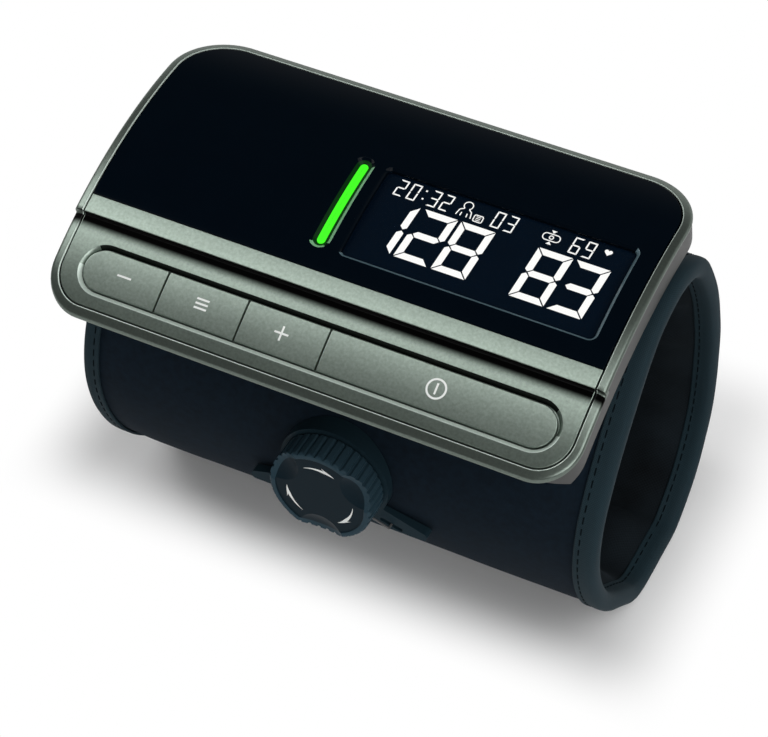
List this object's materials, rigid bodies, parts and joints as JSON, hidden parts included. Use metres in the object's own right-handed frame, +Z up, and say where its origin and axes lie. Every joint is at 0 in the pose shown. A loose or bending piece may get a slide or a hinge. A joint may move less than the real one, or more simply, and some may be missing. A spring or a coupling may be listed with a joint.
{
  "type": "arm-in blood pressure monitor",
  "caption": "Arm-in blood pressure monitor: curved housing with display and a row of keys on a ready-formed arm cuff, tightened by a ratchet dial at the front.",
  "frame": {"origin": "bottom centre of the bounding box, on the surface the cuff stands on", "axes": "+X along the arm opening to the user's right, +Y to the back, +Z up"},
  "size_m": [0.158, 0.113, 0.1347],
  "materials": {
    "rim_metal": "satin metallic",
    "panel_black": "glossy",
    "window_pane": "clear",
    "light_green": "translucent green lens",
    "deck_metal": "satin metallic",
    "shell_dark": "fine matte",
    "lcd_glass": "glossy",
    "backlight": "white",
    "inner_plastic": "matte",
    "circuit_board": "satin",
    "led_body": "glossy",
    "clear_guide": "clear",
    "switch_metal": "satin",
    "pump_metal": "satin",
    "valve_brass": "satin",
    "hose_rubber": "matte",
    "battery_wrap": "satin",
    "screw_steel": "satin",
    "mount_plastic": "matte",
    "cuff_cloth": "woven",
    "bladder_rubber": "matte",
    "lining_mesh": "mesh",
    "binding_tape": "ribbed",
    "dial_plastic": "satin",
    "lace_cord": "braided",
    "key_grey": "satin",
    "key_start": "satin"
  },
  "bodies": {
    "housing": {"air_bladder": "bladder_rubber", "air_hose": "hose_rubber", "air_pump": "pump_metal", "backlight": "backlight", "battery_pack": "battery_wrap", "bezel_frame": "rim_metal", "buzzer": "inner_plastic", "charge_socket": "switch_metal", "cuff_lining": "lining_mesh", "cuff_mount_plate": "mount_plastic", "cuff_outer_cloth": "cuff_cloth", "cuff_stiffener": "mount_plastic", "deck_panel": "deck_metal", "dial_base": "dial_plastic", "dial_post": "screw_steel", "display_panel": "panel_black", "display_window": "window_pane", "housing_screws": "screw_steel", "key_board": "circuit_board", "key_switches": "switch_metal", "lace_eyelets": "valve_brass", "lcd_frame": "inner_plastic", "lcd_module": "lcd_glass", "left_binding": "binding_tape", "light_guide": "clear_guide", "lower_shell": "shell_dark", "main_board": "circuit_board", "plate_screws": "screw_steel", "pressure_sensor": "inner_plastic", "radio_module": "switch_metal", "release_valve": "valve_brass", "right_binding": "binding_tape", "status_leds": "led_body", "status_light": "light_green", "tension_lace": "lace_cord"},
    "minus_button": {"minus_key": "key_grey"},
    "memory_button": {"memory_key": "key_grey"},
    "plus_button": {"plus_key": "key_grey"},
    "start_button": {"start_stop_key": "key_start"},
    "dial_slide": {"dial_bush": "valve_brass"},
    "dial": {"dial_knob": "dial_plastic", "pawl_disc": "mount_plastic"},
    "spool": {"lace_spool": "mount_plastic"}
  },
  "joints": [
    {"name": "minus_press", "type": "slide", "parent": "housing", "child": "minus_button", "axis": [0, 0.5195, -0.8545], "range_m": [0, 0.0007], "stiffness_N_per_m": 600},
    {"name": "memory_press", "type": "slide", "parent": "housing", "child": "memory_button", "axis": [0, 0.5195, -0.8545], "range_m": [0, 0.0007], "stiffness_N_per_m": 600},
    {"name": "plus_press", "type": "slide", "parent": "housing", "child": "plus_button", "axis": [0, 0.5195, -0.8545], "range_m": [0, 0.0007], "stiffness_N_per_m": 600},
    {"name": "start_press", "type": "slide", "parent": "housing", "child": "start_button", "axis": [0, 0.5195, -0.8545], "range_m": [0, 0.0007], "stiffness_N_per_m": 600},
    {"name": "dial_pull", "type": "slide", "parent": "housing", "child": "dial_slide", "axis": [0, -1, 0], "range_m": [0, 0.0025]},
    {"name": "dial_turn", "type": "hinge", "parent": "dial_slide", "child": "dial", "pos_m": [0.0021, -0.03784, 0.06175], "axis": [0, -1, 0], "continuous": true},
    {"name": "spool_turn", "type": "hinge", "parent": "housing", "child": "spool", "pos_m": [0.0021, -0.03784, 0.06175], "axis": [0, -1, 0], "continuous": true}
  ],
  "couplings": [
    {"joint": "spool_turn", "follows": "dial_turn", "ratio": 1}
  ]
}
